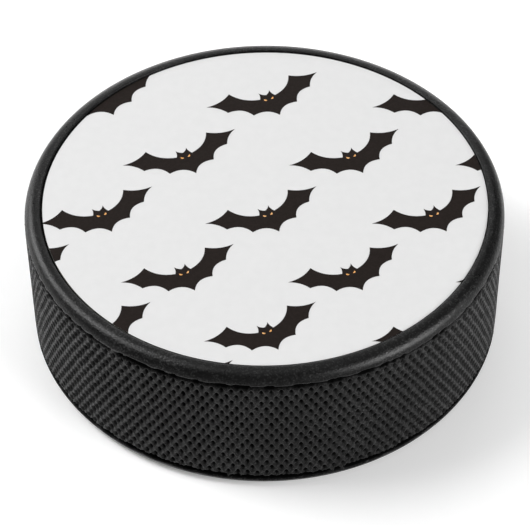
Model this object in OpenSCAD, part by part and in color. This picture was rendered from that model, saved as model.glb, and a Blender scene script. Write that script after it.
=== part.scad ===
// Ice hockey puck: a one-piece rubber body with a knurled edge and a round
// printed label that sits in a shallow recess in its top face.
// Millimetres. The origin is the centre of the underside and +Z is up.

/* [Body] */
// Diameter of the rubber body over the crests of the knurl
puck_d = 76.2; // [74:0.1:80]
// Thickness of the rubber body from face to face
puck_t = 25.4; // [20:0.1:30]
// Radius that rounds the rim at each face
rim_r = 2.1; // [1:0.1:2.4]
// Distance from each face to the middle of its edge groove
groove_inset = 2.05; // [1.8:0.05:3]
// Radius of the half-round edge grooves
groove_r = 0.25; // [0.1:0.05:0.4]
// Diameter of the shallow recess in each face
recess_d = 71; // [66:0.1:71]
// Depth of the recess in each face
recess_depth = 0.5; // [0.3:0.05:1]

/* [Label] */
// Diameter of the label
label_d = 70.5; // [60:0.1:70.5]
// How far the label sits off centre, towards +X
label_shift = 0.1; // [0:0.05:0.2]
// Thickness of the adhesive under the film
adhesive_t = 0.05; // [0.02:0.01:0.06]
// Thickness of the white film
film_t = 0.2; // [0.05:0.01:0.2]
// Thickness of each printed ink layer
ink_t = 0.02; // [0.01:0.005:0.02]
// Width of the unprinted margin along the label's edge
print_margin = 0.02; // [0.01:0.01:1]

/* [Print] */
// Wing span of one bat
bat_span = 19.5; // [12:0.1:24]
// Angle that each bat banks, anticlockwise
bat_bank = 25; // [0:0.5:45]
// Distance between neighbouring bats of the middle row
bat_pitch = 26.3; // [24:0.1:40]
// Growth of the print for each millimetre towards +Y, as a share of its size
growth = 0.0017; // [0:0.0001:0.003]
// Angle of the rows, anticlockwise
row_turn = -0.7; // [-10:0.1:10]
// Place of the middle bat along X, from the label's centre
print_x = 0.3; // [-5:0.1:5]
// Place of the middle bat along Y, from the label's centre
print_y = -3.4; // [-5:0.1:5]

/* [Hidden] */

puck_r = puck_d / 2;
label_r = label_d / 2;
print_r = label_r - print_margin;
adhesive_z = puck_t - recess_depth;
film_z = adhesive_z + adhesive_t;
bat_z = film_z + film_t;
eye_z = bat_z + ink_t;
// How far each cut runs past the face that it opens
cut_past = 1;
// Segments of a full circle: around the puck, around the rim's section, and on the smallest shapes
round_fn = 180;
rim_fn = 64;
small_fn = 32;

// The bat is drawn with a half span of 10 around its head, and scaled to bat_span.
bat_scale = bat_span / 20;
curve_steps = 8;
// Corners of the bat's right half, clockwise from the dip between the ears to the tail
DIP = [0, 0.7];
EAR = [0.95, 1.6];
NECK = [1.35, 0.1];
THUMB = [5.4, 3.5];
WING_TIP = [10, 2.2];
OUTER_FINGER = [7.4, -0.5];
INNER_FINGER = [3.9, -2.9];
TAIL = [0, -4.6];
// Each edge of the right half: where it starts, where it ends, and how far it
// bows into the bat, as a share of its length
HALF_BAT = [
    [DIP, EAR, 0.1],
    [EAR, NECK, 0.08],
    [NECK, THUMB, 0.13],
    [THUMB, WING_TIP, 0.1],
    [WING_TIP, OUTER_FINGER, 0.1],
    [OUTER_FINGER, INNER_FINGER, 0.2],
    [INNER_FINGER, TAIL, 0.2],
];
// An eye is the part of a circle that lies under a slanting brow.
eye_r = 0.28;
eye_x = 0.55;
eye_y = -0.3;
brow_slope = 38;
// Rows and columns of half pitches that the label may reach
reach = ceil(2 * (print_r + bat_span / 2) / bat_pitch);

// Points from a up to but without b, on a curve that bows to the right of the way from a to b
function bowed_edge(a, b, bow) =
    let (along = b - a, aside = [along[1], -along[0]])
    [for (i = [0:curve_steps - 1])
        let (t = i / curve_steps)
        a + t * along + 4 * t * (1 - t) * bow * aside];

function half_outline() = [for (edge = HALF_BAT) each bowed_edge(edge[0], edge[1], edge[2])];

// The half outline's mirror image, from the tail back up to the first ear
function mirrored_half(half) = [for (i = [len(half) - 1:-1:1]) [-half[i][0], half[i][1]]];

module bat_outline() {
    half = half_outline();
    polygon(concat(half, [TAIL], mirrored_half(half)));
}

module eye_pair() {
    for (side = [0, 1])
        mirror([side, 0])
            translate([eye_x, eye_y])
                difference() {
                    circle(r = eye_r, $fn = small_fn);
                    rotate(brow_slope)
                        translate([-2 * eye_r, 0])
                            square([4 * eye_r, 2 * eye_r]);
                }
}

// Where a bat would lie if the print had one size all over
function even_place(column, row) =
    let (across = column * bat_pitch / 2, up = row * bat_pitch / 2)
    [print_x + across * cos(row_turn) - up * sin(row_turn),
     print_y + across * sin(row_turn) + up * cos(row_turn)];

// How much larger the print is at a place than at the label's centre
function growth_at(place) = 1 / (1 - growth * place[1]);

// Repeats its child at every place of the staggered rows, and keeps what lies on the label
module printed_pattern() {
    intersection() {
        circle(r = print_r, $fn = round_fn);
        for (row = [-reach:reach], column = [-reach:reach])
            if ((row + column) % 2 == 0) {
                place = even_place(column, row);
                translate(place * growth_at(place))
                    rotate(bat_bank)
                        scale(bat_scale * growth_at(place))
                            children();
            }
    }
}

// A layer of the label, from z up, with its children as its outline
module label_layer(z, thickness) {
    translate([label_shift, 0, z])
        linear_extrude(thickness)
            children();
}

module rim_section(z) {
    translate([puck_r - rim_r, z])
        circle(r = rim_r, $fn = rim_fn);
}

// The body's solid section to the right of the axis, before anything is cut from it
module full_section() {
    square([puck_r - rim_r, puck_t]);
    translate([0, rim_r])
        square([puck_r, puck_t - 2 * rim_r]);
    rim_section(rim_r);
    rim_section(puck_t - rim_r);
}

module groove_section(z) {
    translate([puck_r, z])
        circle(r = groove_r, $fn = small_fn);
}

module recess_section(z) {
    translate([-cut_past, z])
        square([recess_d / 2 + cut_past, recess_depth + cut_past]);
}

module rubber_body() {
    color([0.12, 0.12, 0.12])
        rotate_extrude($fn = round_fn)
            difference() {
                full_section();
                groove_section(groove_inset);
                groove_section(puck_t - groove_inset);
                recess_section(puck_t - recess_depth);
                recess_section(-cut_past);
            }
}

module label_adhesive() {
    color([0.85, 0.83, 0.75])
        label_layer(adhesive_z, adhesive_t)
            circle(r = label_r, $fn = round_fn);
}

module label_film() {
    color([0.93, 0.93, 0.93])
        label_layer(film_z, film_t)
            circle(r = label_r, $fn = round_fn);
}

module bat_prints() {
    color([0.17, 0.15, 0.16])
        label_layer(bat_z, ink_t)
            printed_pattern()
                bat_outline();
}

module eye_prints() {
    color([0.9, 0.55, 0.25])
        label_layer(eye_z, ink_t)
            printed_pattern()
                eye_pair();
}

rubber_body();
label_adhesive();
label_film();
bat_prints();
eye_prints();
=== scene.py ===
"""Looks of an ice hockey puck: a knurled rubber body with a printed label in its top face.

Lengths are in metres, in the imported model's own frame: the origin is the centre of the underside.
"""
import math

import bpy
import numpy as np
from mathutils import Matrix, Vector


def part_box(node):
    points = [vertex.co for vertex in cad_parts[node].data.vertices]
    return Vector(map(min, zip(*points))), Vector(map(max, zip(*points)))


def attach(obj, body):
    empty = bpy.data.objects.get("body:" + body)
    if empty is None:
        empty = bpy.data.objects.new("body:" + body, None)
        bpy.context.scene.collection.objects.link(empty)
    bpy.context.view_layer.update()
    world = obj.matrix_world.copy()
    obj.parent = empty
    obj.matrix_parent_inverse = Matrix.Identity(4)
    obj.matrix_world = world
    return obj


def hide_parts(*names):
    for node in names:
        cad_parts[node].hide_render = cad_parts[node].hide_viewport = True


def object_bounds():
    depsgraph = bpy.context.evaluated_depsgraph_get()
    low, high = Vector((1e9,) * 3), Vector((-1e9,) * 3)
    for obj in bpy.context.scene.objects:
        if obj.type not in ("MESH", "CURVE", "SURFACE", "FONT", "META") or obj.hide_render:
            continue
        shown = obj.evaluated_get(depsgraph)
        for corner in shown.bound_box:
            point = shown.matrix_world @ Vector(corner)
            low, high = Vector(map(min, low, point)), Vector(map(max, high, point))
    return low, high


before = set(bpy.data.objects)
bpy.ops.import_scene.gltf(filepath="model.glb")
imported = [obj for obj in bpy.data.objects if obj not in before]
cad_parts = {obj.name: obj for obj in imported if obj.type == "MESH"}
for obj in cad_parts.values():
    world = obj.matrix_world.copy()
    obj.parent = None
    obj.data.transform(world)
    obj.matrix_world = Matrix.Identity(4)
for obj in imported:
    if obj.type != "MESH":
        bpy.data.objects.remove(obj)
cad_low, cad_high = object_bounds()

MM = 0.001
SEED = 11

# ---------------------------------------------------------------- sizes taken from the frame
body_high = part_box("rubber_body")[1]
film_low, film_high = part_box("label_film")
RADIUS = body_high.x
THICK = body_high.z
RECESS_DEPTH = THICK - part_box("label_adhesive")[0].z
FILM_RADIUS = (film_high.x - film_low.x) / 2
FILM_CENTRE = (film_low + film_high) / 2

# ---------------------------------------------------------------- rubber body, size of each feature
RECESS_RADIUS = 35.5 * MM
RIM_ROUND = 2.1 * MM
LIP_ROUND = 0.2 * MM
# The knurled band runs from the middle of one edge groove to the middle of the other
GROOVE_INSET = 2.1 * MM
# How far each edge groove reaches into the rim, and into the knurl
GROOVE_INTO_RIM = 0.28 * MM
GROOVE_INTO_KNURL = 0.52 * MM
GROOVE_DEPTH = 0.75 * MM
# How much a groove's depth and its width stray, as shares of them, and the noise's cells around
GROOVE_WANDER = 0.15
GROOVE_WANDER_CELLS = 90
GROOVE_RAGGED = 0.35
GROOVE_RAGGED_CELLS = 320
# A bridge of flash starts where the noise passes a level, and a rise further on it fills this share
FLASH_CELLS = 240
FLASH_FROM = 0.768
FLASH_RISE = 0.12
FLASH_FILL = 0.9

# ---------------------------------------------------------------- knurl, size of each feature
KNURLS_AROUND = 160
# Row pitches from the middle of one groove to the middle of the other
KNURL_ROWS = 17
KNURL_ROW_PITCH = (THICK - 2 * GROOVE_INSET) / KNURL_ROWS
KNURL_DEPTH = 0.65 * MM
# Half the width of a knurl's ridge at its foot, as a share of the way to the next ridge
RIDGE_HALF_WIDTH = 0.4
# Mesh lines from one ridge to the next
RIDGE_STEPS = 5
# How much the pits' depth strays, as a share of it, and the noise's cells around and up
PIT_UNEVEN = 0.25
PIT_UNEVEN_CELLS = (230, 25)
# How much the ridges' course strays, as a share of their spacing
RIDGE_WAVER = 0.06
RIDGE_WAVER_CELLS = (190, 21)
# How deep the ridges' crests are worn down on average
CREST_WEAR = 0.02 * MM
CREST_WEAR_CELLS = (60, 7)

# How dull the knurl's ridges are, and where the rim starts and ends to turn as dull
RIDGE_DULL = 0.2
DULL_FROM_INSET = 0.8 * MM
DULL_TO_INSET = 1.5 * MM
# Painted shade on the recess's wall at its foot; it fades out up the wall
RECESS_WALL_SHADE = 0.5


# ---------------------------------------------------------------- noise
def smooth_step(t):
    """A rise from 0 to 1 with level ends."""
    t = np.clip(t, 0, 1)
    return t * t * (3 - 2 * t)


def wrapped_noise(turn, up, cells, rng):
    """Smooth noise from -1 to 1, with that many cells around and up.

    turn goes round once from 0 to 1 and meets itself, and up runs from 0 to 1.
    """
    cells_around, cells_up = cells
    grid = rng.uniform(-1, 1, (cells_up + 2, cells_around))
    u = (turn % 1.0) * cells_around
    v = np.clip(up, 0, 1) * cells_up
    column = np.floor(u).astype(int)
    row = np.floor(v).astype(int)
    across = smooth_step(u - column)
    rise = smooth_step(v - row)
    column %= cells_around
    following = (column + 1) % cells_around
    lower = grid[row, column] * (1 - across) + grid[row, following] * across
    upper = grid[row + 1, column] * (1 - across) + grid[row + 1, following] * across
    return lower * (1 - rise) + upper * rise


def ring_noise(turn, cells_around, rng):
    """Smooth noise from -1 to 1 that changes only around the puck."""
    return wrapped_noise(turn, 0 * turn, (cells_around, 1), rng)


# ---------------------------------------------------------------- rings of points and their faces
class RingMesh:
    """Points in closed rings, each joined to the ring before it. Every ring starts at the same side.

    dull_and_shade says how little a point shines and how much shade is painted on it: 0 on the smooth
    rim, more on the knurl's matt ridges, and up to 1 down in pits and grooves and on the label's cut
    edge, where it paints their shade. reach is how far a ring's points lie from the middle of their disc
    in the texture map.
    """

    def __init__(self):
        self.points = []
        self.dull_and_shade = []
        self.reach = []
        self.faces = []
        self.count = 0
        self.last = None

    def add_ring(self, points, dull_and_shade=0, reach=0, ahead=0):
        """ahead is 1 for a ring whose points lie half a step further round than those of the others."""
        ring = (self.count, len(points), ahead)
        self.points.append(points)
        self.dull_and_shade.append(dull_and_shade + np.zeros(len(points)))
        self.reach.append(reach + np.zeros(len(points)))
        self.count += len(points)
        if self.last is not None:
            self.join(self.last, ring)
        self.last = ring

    def add_pole(self, x, y, z):
        """Closes the mesh at one point, or starts it there."""
        self.add_ring(np.array([[x, y, z]]))

    def join(self, below, above):
        """Faces between two neighbouring rings."""
        (a, n, a_ahead), (b, m, b_ahead) = below, above
        if n == 1:
            self.faces += [(a, b + (i + 1) % m, b + i) for i in range(m)]
        elif m == 1:
            self.faces += [(a + i, a + (i + 1) % n, b) for i in range(n)]
        elif n == m and a_ahead != b_ahead:
            self.zigzag(a, b, n, a_ahead > b_ahead)
        elif n == m:
            self.faces += [(a + i, a + (i + 1) % n, b + (i + 1) % n, b + i) for i in range(n)]
        elif n == 2 * m:
            self.halve(a, n, b, m)
        elif m == 2 * n:
            self.double(a, n, b, m)

    def zigzag(self, a, b, n, from_ahead):
        """Faces between two rings of n points, one of which is half a step ahead."""
        for i in range(n):
            near, far = a + i, a + (i + 1) % n
            left, right = b + i, b + (i + 1) % n
            if from_ahead:
                self.faces += [(near, far, right), (near, right, left)]
            else:
                self.faces += [(near, far, left), (far, right, left)]

    def halve(self, a, n, b, m):
        """Faces from a ring of n points to a ring of half as many."""
        for i in range(m):
            left, middle, right = a + 2 * i, a + 2 * i + 1, a + (2 * i + 2) % n
            near, far = b + i, b + (i + 1) % m
            self.faces += [(left, middle, near), (middle, far, near), (middle, right, far)]

    def double(self, a, n, b, m):
        """Faces from a ring of n points to a ring of twice as many."""
        for i in range(n):
            near, far = a + i, a + (i + 1) % n
            left, middle, right = b + 2 * i, b + 2 * i + 1, b + (2 * i + 2) % m
            self.faces += [(near, middle, left), (near, far, middle), (far, right, middle)]

    def make(self, name):
        mesh = bpy.data.meshes.new(name)
        mesh.from_pydata(np.concatenate(self.points).tolist(), [], self.faces)
        mesh.polygons.foreach_set("use_smooth", [True] * len(mesh.polygons))
        dull_and_shade = mesh.attributes.new("dull_and_shade", "FLOAT", "POINT")
        dull_and_shade.data.foreach_set("value", np.concatenate(self.dull_and_shade))
        mesh.update()
        made = bpy.data.objects.new(name, mesh)
        bpy.context.scene.collection.objects.link(made)
        return made


def ring_at(turn, radius, z):
    """Points around the puck's axis at those shares of a whole turn.

    The radius may differ from point to point.
    """
    angles = 2 * np.pi * turn
    return np.stack([radius * np.cos(angles), radius * np.sin(angles), z + 0 * angles], axis=1)


# ---------------------------------------------------------------- knurled band
def ridge_height(across):
    """How high a ridge's round section is, from 1 on its crest to 0 at its foot and beyond."""
    off = np.abs(across - np.round(across)) / RIDGE_HALF_WIDTH
    return np.clip(1 - off ** 2, 0, 1)


def groove_cut(inset, turn, up):
    """How deep the edge groove is at a distance from the face. up, 0 or 1, tells the two grooves apart.

    Its depth wanders a little around the puck, its sides are ragged, and here and there a bridge of
    flash fills it.
    """
    rng = np.random.default_rng([SEED, up])
    wander = 1 + GROOVE_WANDER * ring_noise(turn, GROOVE_WANDER_CELLS, rng)
    bridge = smooth_step((ring_noise(turn, FLASH_CELLS, rng) - FLASH_FROM) / FLASH_RISE)
    ragged = 1 + GROOVE_RAGGED * ring_noise(turn, GROOVE_RAGGED_CELLS, rng)
    side = GROOVE_INTO_RIM if inset < GROOVE_INSET else GROOVE_INTO_KNURL
    off = np.minimum(abs(inset - GROOVE_INSET) / (side * ragged), 1)
    return GROOVE_DEPTH * wander * (1 - FLASH_FILL * bridge) * (1 - off ** 4)


def dullness_and_shade(cut, groove):
    """How matt the body is at a point, and how much shade is painted there, from its pit's and edge
    groove's depth.

    A groove is at its dullest, with its full painted shade, from half its depth on.
    """
    return RIDGE_DULL + (1 - RIDGE_DULL) * np.minimum(np.maximum(cut, 2 * groove) / GROOVE_DEPTH, 1)


def knurl_rings():
    """Rings of the knurled band, from its lower to its upper end.

    Each has its points' turn, radius, height and dullness with painted shade. Every second ring is half a
    step ahead, so that the mesh has its lines along the slanting ridges.
    """
    around = KNURLS_AROUND * RIDGE_STEPS
    for level in range(KNURL_ROWS * RIDGE_STEPS + 1):
        turn = (np.arange(around) + level % 2 / 2) / around
        rows_up = level / RIDGE_STEPS
        z = GROOVE_INSET + rows_up * KNURL_ROW_PITCH
        up = rows_up / KNURL_ROWS + 0 * turn
        uneven = wrapped_noise(turn, up, PIT_UNEVEN_CELLS, np.random.default_rng(SEED))
        worn = wrapped_noise(turn, up, CREST_WEAR_CELLS, np.random.default_rng(SEED + 1))
        waver = RIDGE_WAVER * wrapped_noise(turn, up, RIDGE_WAVER_CELLS, np.random.default_rng(SEED + 3))
        rising = ridge_height(rows_up / 2 + turn * KNURLS_AROUND + waver)
        falling = ridge_height(rows_up / 2 - turn * KNURLS_AROUND + waver)
        pit = 1 - np.maximum(rising, falling)
        cut = KNURL_DEPTH * (1 + PIT_UNEVEN * uneven) * pit + CREST_WEAR * (1 + worn)
        groove = np.maximum(groove_cut(THICK - z, turn, 1), groove_cut(z, turn, 0))
        cut = np.maximum(cut, groove)
        yield turn, RADIUS - cut, z, dullness_and_shade(cut, groove)


# ---------------------------------------------------------------- rims and faces
# Points of the rim's section: down the groove's side, over the rim, and around the recess's lip
FLANK_POINTS = 6
RIM_POINTS = 15
LIP_POINTS = 4
# Rings of a recess's face, as shares of its radius. Each has half as many points as the one before.
FACE_SHARES = (0.985, 0.93, 0.8, 0.6, 0.35)


def rim_section():
    """Points (radius, inset from the face) from the edge groove over the rim into the recess."""
    section = []
    flank = np.linspace(GROOVE_INSET, GROOVE_INSET - GROOVE_INTO_RIM, FLANK_POINTS)
    start = math.asin(1 - flank[-1] / RIM_ROUND)
    flank_turns = [math.asin(1 - inset / RIM_ROUND) for inset in flank[1:-1]]
    for a in [*flank_turns, *np.linspace(start, math.pi / 2, RIM_POINTS)]:
        section.append((RADIUS - RIM_ROUND * (1 - math.cos(a)), RIM_ROUND * (1 - math.sin(a))))
    for a in np.linspace(0, math.pi / 2, LIP_POINTS):
        section.append((RECESS_RADIUS + LIP_ROUND * (1 - math.sin(a)), LIP_ROUND * (1 - math.cos(a))))
    section.append((RECESS_RADIUS, RECESS_DEPTH))
    return section


def reach_of(radius, inset):
    """How far from the middle of its disc a point of a face or rim lies in the texture map."""
    outwards = inset if radius > RECESS_RADIUS + LIP_ROUND else -inset
    return radius + RECESS_DEPTH + outwards


def add_rim(body, section, turn, up):
    """Adds the section's rings at the puck's lower, 0, or upper, 1, end."""
    for radius, inset in section:
        z = THICK - inset if up else inset
        if radius > RECESS_RADIUS + LIP_ROUND:
            cut = groove_cut(inset, turn, up)
            near_knurl = smooth_step((inset - DULL_FROM_INSET) / (DULL_TO_INSET - DULL_FROM_INSET))
            # The edge groove paints its shade on the rim, which also turns matt towards the knurl
            dull_and_shade = dullness_and_shade(0, cut) - RIDGE_DULL * (1 - near_knurl)
        else:
            cut = 0 * turn
            # Painted shade down the recess's wall, deepest at its foot
            dull_and_shade = RECESS_WALL_SHADE * inset / RECESS_DEPTH
        body.add_ring(ring_at(turn, radius - cut, z), dull_and_shade, reach_of(radius, inset))


def add_face(body, turn, up):
    """Adds the flat face of a recess: its pole, and its rings from the wall inwards or back out to it."""
    z = THICK - RECESS_DEPTH if up else RECESS_DEPTH
    rings = []
    for share in FACE_SHARES:
        rings.append((turn, share))
        turn = turn[::2]
    if not up:
        body.add_pole(0, 0, z)
        rings.reverse()
    for ring_turn, share in rings:
        radius = RECESS_RADIUS * share
        body.add_ring(ring_at(ring_turn, radius, z), 0, reach_of(radius, RECESS_DEPTH))
    if up:
        body.add_pole(0, 0, z)


def rubber_body():
    """The whole one-piece rubber moulding: rims, grooves, knurled edge and both recessed faces."""
    turn = np.arange(0, 1, 2 / (KNURLS_AROUND * RIDGE_STEPS))
    body = RingMesh()
    add_face(body, turn, 0)
    add_rim(body, reversed(rim_section()), turn, 0)
    for level, (turn, radius, z, dull_and_shade) in enumerate(knurl_rings()):
        body.add_ring(ring_at(turn, radius, z), dull_and_shade, MAP_DISC, level % 2)
    # The upper end follows the last ring of the knurl, which is half a step ahead
    add_rim(body, rim_section(), turn[::2], 1)
    add_face(body, turn[::2], 1)
    made = body.make("rubber_moulding")
    unroll(made.data, np.concatenate(body.reach))
    return made


# ---------------------------------------------------------------- texture map of the body
MAP_GAP = 1 * MM
MAP_DISC = RADIUS + RECESS_DEPTH + GROOVE_INSET
MAP_WIDTH = 4 * MAP_DISC + 3 * MAP_GAP
MAP_STRIP = THICK - 2 * GROOVE_INSET


def unroll(mesh, reach):
    """Gives the body a map for baking.

    Each face with its rim is a disc there, and the knurled edge is two strips.
    """
    points = np.empty(3 * len(mesh.vertices))
    mesh.vertices.foreach_get("co", points)
    x, y, z = points.reshape(-1, 3).T
    corners = np.empty(len(mesh.loops), dtype=int)
    mesh.loops.foreach_get("vertex_index", corners)
    sides = np.empty(len(mesh.polygons), dtype=int)
    mesh.polygons.foreach_get("loop_total", sides)
    face = np.repeat(np.arange(len(sides)), sides)

    def mean(values):
        """The mean over each face's corners, for each of those corners."""
        return (np.bincount(face, values[corners]) / sides)[face]

    middle_z = mean(z)
    middle_turn = np.arctan2(mean(y), mean(x)) / (2 * np.pi) % 1
    own_turn = (np.arctan2(y, x) / (2 * np.pi))[corners]
    # Each corner's turn is taken on the same side of the seam as its face's middle
    turn = middle_turn + (own_turn - middle_turn + 0.5) % 1 - 0.5
    second = middle_turn >= 0.5
    u = MAP_GAP + (turn - second / 2) * 2 * np.pi * RADIUS
    v = 2 * (MAP_DISC + MAP_GAP) + second * (MAP_STRIP + MAP_GAP) + z[corners] - GROOVE_INSET
    on_disc = np.abs(middle_z - THICK / 2) > MAP_STRIP / 2
    upper = middle_z > THICK / 2
    angle = 2 * np.pi * own_turn
    # The lower face is seen from below, so its disc is turned over
    across = reach[corners] * np.cos(angle) * np.where(upper, 1, -1)
    disc_u = MAP_GAP + MAP_DISC + upper * (2 * MAP_DISC + MAP_GAP) + across
    disc_v = MAP_GAP + MAP_DISC + reach[corners] * np.sin(angle)
    placed = np.stack([np.where(on_disc, disc_u, u), np.where(on_disc, disc_v, v)], axis=1) / MAP_WIDTH
    mesh.uv_layers.new(name="OFBake").data.foreach_set("uv", placed.ravel())


# ---------------------------------------------------------------- label film
FILM_AROUND = 512
FILM_EDGE_ROUND = 0.02 * MM
FILM_EDGE_POINTS = 4
# How far the film's face dips on average, and the noise's cells around
FILM_DIP = 0.004 * MM
FILM_DIP_CELLS = 40


def film_disc():
    """The die-cut film, with a softened upper edge and a face that isn't quite even."""
    rng = np.random.default_rng(SEED + 2)
    turn = np.arange(0, 1, 1 / FILM_AROUND)
    film = RingMesh()
    film.add_pole(FILM_CENTRE.x, 0, film_low.z)
    # The underside and the cut edge carry painted shade, which fades out over the rounded upper edge
    for share in (0.125, 0.25, 0.5, 1):
        film.add_ring(shifted(ring_at(turn[::round(1 / share)], FILM_RADIUS * share, film_low.z)), 1)
    for a in np.linspace(0, math.pi / 2, FILM_EDGE_POINTS):
        radius = FILM_RADIUS - FILM_EDGE_ROUND * (1 - math.cos(a))
        z = film_high.z - FILM_EDGE_ROUND * (1 - math.sin(a))
        film.add_ring(shifted(ring_at(turn, radius, z)), math.cos(a))
    for share in (0.97, 0.9, 0.82, 0.74, 0.66, 0.58, 0.5):
        dip = FILM_DIP * (1 + ring_noise(turn, FILM_DIP_CELLS, rng))
        film.add_ring(shifted(ring_at(turn, FILM_RADIUS * share, film_high.z - dip)))
    for share in (0.4, 0.25, 0.1):
        turn = turn[::2]
        film.add_ring(shifted(ring_at(turn, FILM_RADIUS * share, film_high.z)))
    film.add_pole(FILM_CENTRE.x, 0, film_high.z)
    return film.make("printed_film")


def shifted(points):
    """The same points around the label's own centre."""
    return points + np.array([FILM_CENTRE.x, 0, 0])


# ---------------------------------------------------------------- materials
# A Mix node has sockets of the same names for each kind of value. These are the places of its colours.
MIX_FIRST = 6
MIX_SECOND = 7
MIX_RESULT = 2
# How strong each finer layer of a noise is beside the one before
NOISE_ROUGHNESS = 0.55


class Look:
    """A material's node tree, with short ways to add and link nodes."""

    def __init__(self, name):
        self.material = bpy.data.materials.new(name)
        self.material.use_nodes = True
        self.tree = self.material.node_tree
        self.shader = self.tree.nodes["Principled BSDF"]
        self.place = self.add("ShaderNodeTexCoord").outputs["Object"]

    def add(self, kind, **settings):
        node = self.tree.nodes.new(kind)
        for name, value in settings.items():
            setattr(node, name, value)
        return node

    def link(self, start, end):
        self.tree.links.new(start, end)

    def noise(self, size, detail=3):
        """Noise from 0 to 1 whose blobs are about that size across."""
        node = self.add("ShaderNodeTexNoise")
        node.inputs["Scale"].default_value = 1 / size
        node.inputs["Detail"].default_value = detail
        node.inputs["Roughness"].default_value = NOISE_ROUGHNESS
        self.link(self.place, node.inputs["Vector"])
        return node.outputs["Fac"]

    def ramp(self, value, *stops):
        """The value turned into colours or greys. Each stop is a position and a grey or a colour."""
        node = self.add("ShaderNodeValToRGB")
        self.link(value, node.inputs["Fac"])
        elements = node.color_ramp.elements
        while len(elements) < len(stops):
            elements.new(1)
        for element, (position, colour) in zip(elements, stops):
            element.position = position
            grey = isinstance(colour, (int, float))
            element.color = (colour, colour, colour, 1) if grey else (*colour, 1)
        return node.outputs["Color"]

    def bump(self, height, distance, strength, after=None):
        node = self.add("ShaderNodeBump")
        node.inputs["Distance"].default_value = distance
        node.inputs["Strength"].default_value = strength
        self.link(height, node.inputs["Height"])
        if after is not None:
            self.link(after, node.inputs["Normal"])
        return node.outputs["Normal"]

    def mix(self, factor, first, second):
        node = self.add("ShaderNodeMix", data_type="RGBA")
        self.link(factor, node.inputs["Factor"])
        self.link(first, node.inputs[MIX_FIRST])
        self.link(second, node.inputs[MIX_SECOND])
        return node.outputs[MIX_RESULT]


def rubber_look():
    """Black filled rubber: satin rims, duller knurl, and painted shade making pits and grooves nearly
    black.

    A fine dust lies on it everywhere else.
    """
    look = Look("puck_rubber")
    dull_and_shade = look.add("ShaderNodeAttribute", attribute_name="dull_and_shade").outputs["Fac"]
    # hollow marks pits and grooves, where painted shade darkens the colour and the roughness turns matt
    hollow = look.ramp(dull_and_shade, (0.42, 0.0), (0.75, 1.0))
    clouds = look.ramp(look.noise(6 * MM), (0.3, 0.0025), (0.7, 0.004))
    dust = look.ramp(look.noise(0.26 * MM, detail=2), (0.52, 0.0), (0.7, 1.0))
    dusty = look.ramp(look.noise(9 * MM), (0.4, 0.022), (0.6, 0.04))
    # Painted shade: the near-black colour of pits and grooves
    painted_hollow_shade = look.ramp(dull_and_shade, (0.6, 0.003), (1.0, 0.0012))
    open_colour = look.mix(dust, clouds, dusty)
    look.link(look.mix(hollow, open_colour, painted_hollow_shade), look.shader.inputs["Base Color"])
    sheen = look.ramp(look.noise(0.5 * MM), (0.3, 0.27), (0.7, 0.37))
    rough = look.ramp(look.noise(0.3 * MM), (0.35, 0.24), (0.6, 0.46))
    on_knurl = look.ramp(dull_and_shade, (0.0, 0.0), (RIDGE_DULL, 1.0))
    matt = look.ramp(look.noise(0.3 * MM), (0.3, 0.85), (0.7, 0.95))
    open_roughness = look.mix(on_knurl, sheen, rough)
    look.link(look.mix(hollow, open_roughness, matt), look.shader.inputs["Roughness"])
    # Less reflection on the matt knurl, and painted shade that takes nearly all reflection out of pits
    # and grooves
    shine_and_hollow_shade = look.ramp(dull_and_shade, (0.0, 1.0), (RIDGE_DULL, 0.35), (0.45, 0.35), (0.7, 0.1), (1.0, 0.03))
    look.link(shine_and_hollow_shade, look.shader.inputs["Specular Tint"])
    coarse = look.bump(look.noise(0.6 * MM), 0.03 * MM, 0.8)
    fine = look.bump(look.noise(0.3 * MM, detail=2), 0.05 * MM, 0.9, coarse)
    look.link(fine, look.shader.inputs["Normal"])
    look.shader.inputs["Specular IOR Level"].default_value = 0.25
    return look.material


def film_look():
    """Matt white film with very faint mottling. Its cut edge has painted shade, for the gap by the recess
    wall.
    """
    look = Look("white_film")
    mottling = look.ramp(look.noise(1.6 * MM), (0.3, 0.645), (0.7, 0.665))
    # Painted shade on the cut edge, in the gap beside the recess wall
    painted_edge_shade = look.ramp(look.noise(0.4 * MM), (0.3, 0.01), (0.7, 0.04))
    dull_and_shade = look.add("ShaderNodeAttribute", attribute_name="dull_and_shade").outputs["Fac"]
    edge_shade_mask = look.ramp(dull_and_shade, (0.3, 0.0), (0.7, 1.0))
    look.link(look.mix(edge_shade_mask, mottling, painted_edge_shade), look.shader.inputs["Base Color"])
    look.link(look.ramp(look.noise(0.8 * MM), (0.3, 0.5), (0.7, 0.6)), look.shader.inputs["Roughness"])
    look.link(look.bump(look.noise(0.3 * MM), 0.004 * MM, 0.5), look.shader.inputs["Normal"])
    look.shader.inputs["Specular IOR Level"].default_value = 0.3
    return look.material


def ink_look(name, thin, full):
    """A matt printed ink that goes from a thin to a full colour over small areas."""
    look = Look(name)
    colour = look.ramp(look.noise(0.5 * MM), (0.35, thin), (0.6, full))
    look.link(colour, look.shader.inputs["Base Color"])
    look.link(look.ramp(look.noise(0.3 * MM), (0.3, 0.5), (0.7, 0.62)), look.shader.inputs["Roughness"])
    look.link(look.bump(look.noise(0.2 * MM), 0.003 * MM, 0.5), look.shader.inputs["Normal"])
    look.shader.inputs["Specular IOR Level"].default_value = 0.1
    return look.material


def adhesive_look():
    """Cured adhesive at the label's edge."""
    look = Look("label_glue")
    colour = look.ramp(look.noise(0.4 * MM), (0.3, (0.3, 0.29, 0.25)), (0.7, (0.42, 0.41, 0.36)))
    look.link(colour, look.shader.inputs["Base Color"])
    look.link(look.ramp(look.noise(0.2 * MM), (0.3, 0.4), (0.7, 0.6)), look.shader.inputs["Roughness"])
    return look.material


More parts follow.
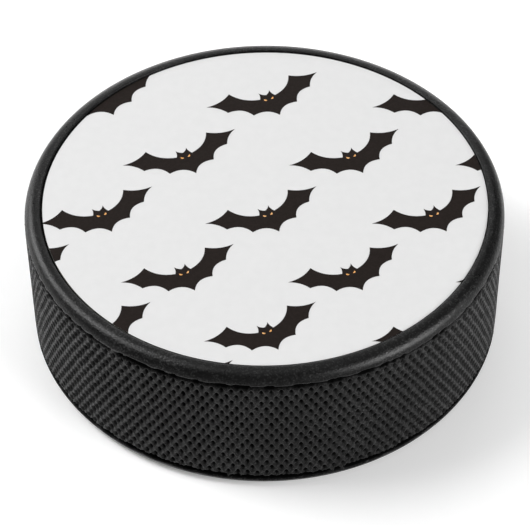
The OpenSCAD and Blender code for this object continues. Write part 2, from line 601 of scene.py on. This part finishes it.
def dress(piece, material):
    piece.data.materials.clear()
    piece.data.materials.append(material)


def build_puck():
    body = rubber_body()
    dress(body, rubber_look())
    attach(body, "root")
    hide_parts("rubber_body")
    film = film_disc()
    dress(film, film_look())
    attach(film, "root")
    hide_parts("label_film")
    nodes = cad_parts
    dress(nodes["label_adhesive"], adhesive_look())
    brown_black = ink_look("black_ink", (0.013, 0.0085, 0.007), (0.01, 0.0065, 0.005))
    dress(nodes["bat_prints"], brown_black)
    orange = ink_look("orange_ink", (0.8, 0.46, 0.2), (0.72, 0.34, 0.1))
    dress(nodes["eye_prints"], orange)


# ---------------------------------------------------------------- camera, floor and light
CAMERA_DISTANCE = 369.4 * MM
CAMERA_ELEVATION = math.radians(45.8)
# Focal length and sensor width as a camera states them, in millimetres
CAMERA_LENS = 154.5
CAMERA_SENSOR = 36
# How far the camera is turned down from the puck's middle, and about its line of sight
CAMERA_PITCH = math.radians(0.2964)
CAMERA_ROLL = math.radians(0.54)
CAMERA_NEAREST = 10 * MM

FLOOR_HALF = 40 * RADIUS
FLOOR_GREY = 0.96
FLOOR_GLOW = 0.12

LIGHT_DISTANCE = 600 * MM
WORLD_LIGHT = 0.08


def add_camera():
    camera = bpy.data.objects.new("camera", bpy.data.cameras.new("camera"))
    bpy.context.scene.collection.objects.link(camera)
    camera.data.sensor_width = CAMERA_SENSOR
    camera.data.lens = CAMERA_LENS
    camera.data.clip_start = CAMERA_NEAREST
    back = Vector((0, -math.cos(CAMERA_ELEVATION), math.sin(CAMERA_ELEVATION)))
    middle = (cad_low + cad_high) / 2
    middle.x = middle.y = 0
    look = (-back).to_track_quat("-Z", "Y").to_matrix().to_4x4()
    turn = Matrix.Rotation(-CAMERA_PITCH, 4, "X") @ Matrix.Rotation(-CAMERA_ROLL, 4, "Z")
    camera.matrix_world = Matrix.Translation(middle + CAMERA_DISTANCE * back) @ look @ turn
    bpy.context.scene.camera = camera


def add_floor():
    """A pale floor that glows a little, like a light table, so that shadows on it stay soft."""
    look = Look("pale_floor")
    look.shader.inputs["Base Color"].default_value = (FLOOR_GREY, FLOOR_GREY, FLOOR_GREY, 1)
    look.shader.inputs["Roughness"].default_value = 0.9
    look.shader.inputs["Specular IOR Level"].default_value = 0.1
    look.shader.inputs["Emission Color"].default_value = (1, 1, 1, 1)
    look.shader.inputs["Emission Strength"].default_value = FLOOR_GLOW
    corners = [(x * FLOOR_HALF, y * FLOOR_HALF, 0) for x, y in ((-1, -1), (1, -1), (1, 1), (-1, 1))]
    mesh = bpy.data.meshes.new("floor")
    mesh.from_pydata(corners, [], [(0, 1, 2, 3)])
    floor = bpy.data.objects.new("floor", mesh)
    bpy.context.scene.collection.objects.link(floor)
    dress(floor, look.material)


def add_softbox(name, azimuth, elevation, across, up, radiance, lean=0):
    """A soft light that faces the puck. Azimuth 0 is behind the puck, and 90 is at its right.

    across and up say how many degrees it spans as the puck sees it, and lean turns it in its own plane.
    """
    a, e = math.radians(azimuth), math.radians(elevation)
    towards = Vector((math.sin(a) * math.cos(e), math.cos(a) * math.cos(e), math.sin(e)))
    light = bpy.data.lights.new(name, "AREA")
    light.shape = "RECTANGLE"
    light.size = 2 * LIGHT_DISTANCE * math.tan(math.radians(across / 2))
    light.size_y = 2 * LIGHT_DISTANCE * math.tan(math.radians(up / 2))
    # The power that gives an area light of that size its radiance
    light.energy = radiance * math.pi * light.size * light.size_y
    lamp = bpy.data.objects.new(name, light)
    facing = towards.to_track_quat("Z", "Y").to_matrix().to_4x4()
    lean_turn = Matrix.Rotation(math.radians(lean), 4, "Z")
    lamp.matrix_world = Matrix.Translation(LIGHT_DISTANCE * towards) @ facing @ lean_turn
    bpy.context.scene.collection.objects.link(lamp)


def add_studio():
    world = bpy.data.worlds.new("studio")
    world.use_nodes = True
    background = world.node_tree.nodes["Background"]
    background.inputs["Color"].default_value = (1, 1, 1, 1)
    background.inputs["Strength"].default_value = WORLD_LIGHT
    bpy.context.scene.world = world
    # Each light's azimuth, elevation, degrees across and up, and radiance
    add_softbox("right", 122, 24, 38, 24, 11)
    add_softbox("left_low", 308, 24, 20, 22, 3.8)
    add_softbox("left_strip", 288, 39, 18, 56, 6.4, lean=-37)
    add_softbox("left_high", 276, 58, 20, 22, 4.4)
    add_softbox("back_low", 0, 9, 44, 16, 3)
    add_softbox("back_high", 0, 42, 34, 26, 1.2)
    add_softbox("top", 0, 86, 45, 45, 0.6)
    bpy.context.scene.view_settings.view_transform = "Standard"


build_puck()
add_camera()
add_floor()
add_studio()
